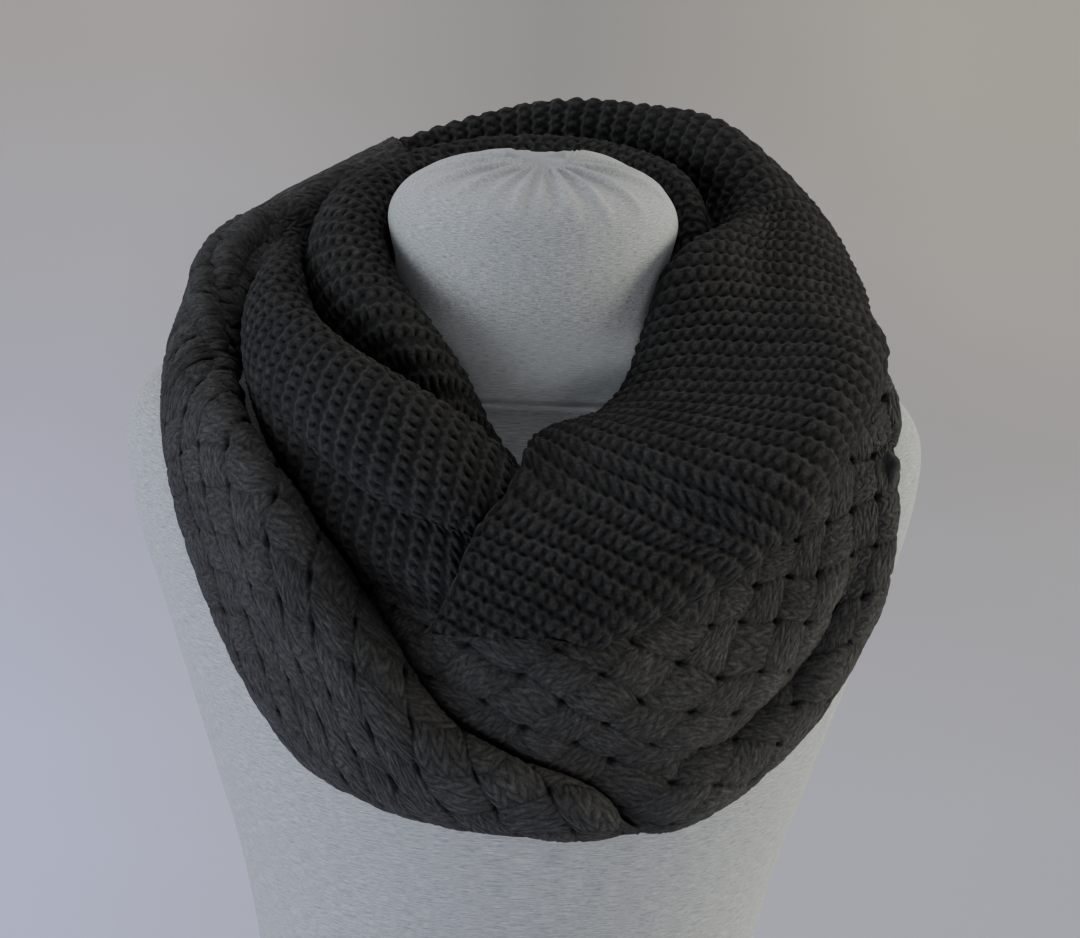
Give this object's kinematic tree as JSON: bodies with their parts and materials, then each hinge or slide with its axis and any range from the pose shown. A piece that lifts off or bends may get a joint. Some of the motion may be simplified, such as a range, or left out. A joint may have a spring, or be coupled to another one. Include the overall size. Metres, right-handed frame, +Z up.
{
  "type": "infinity scarf on dress form",
  "caption": "Chunky charcoal knitted loop scarf, part basket-weave cable and part garter stitch, wound round the neck of a limbless heather-grey dress form.",
  "frame": {"origin": "centre of the object's bounding box, on the plane of the form's flat base", "axes": "+Z up, -Y towards the front of the form, +X towards the viewer's right when it is seen from the front"},
  "size_m": [0.374, 0.3329, 0.6684],
  "materials": {
    "charcoal_garter": "chunky knit, garter stitch",
    "charcoal_cable": "chunky knit, basket-weave cable",
    "heather_grey_jersey": "smooth jersey, heather"
  },
  "bodies": {
    "root": {"outer_roll": "charcoal_garter", "neck_roll": "charcoal_garter", "chest_roll": "charcoal_garter", "drape_left": "charcoal_cable", "drape_right": "charcoal_cable", "dress_form": "heather_grey_jersey"}
  },
  "joints": []
}
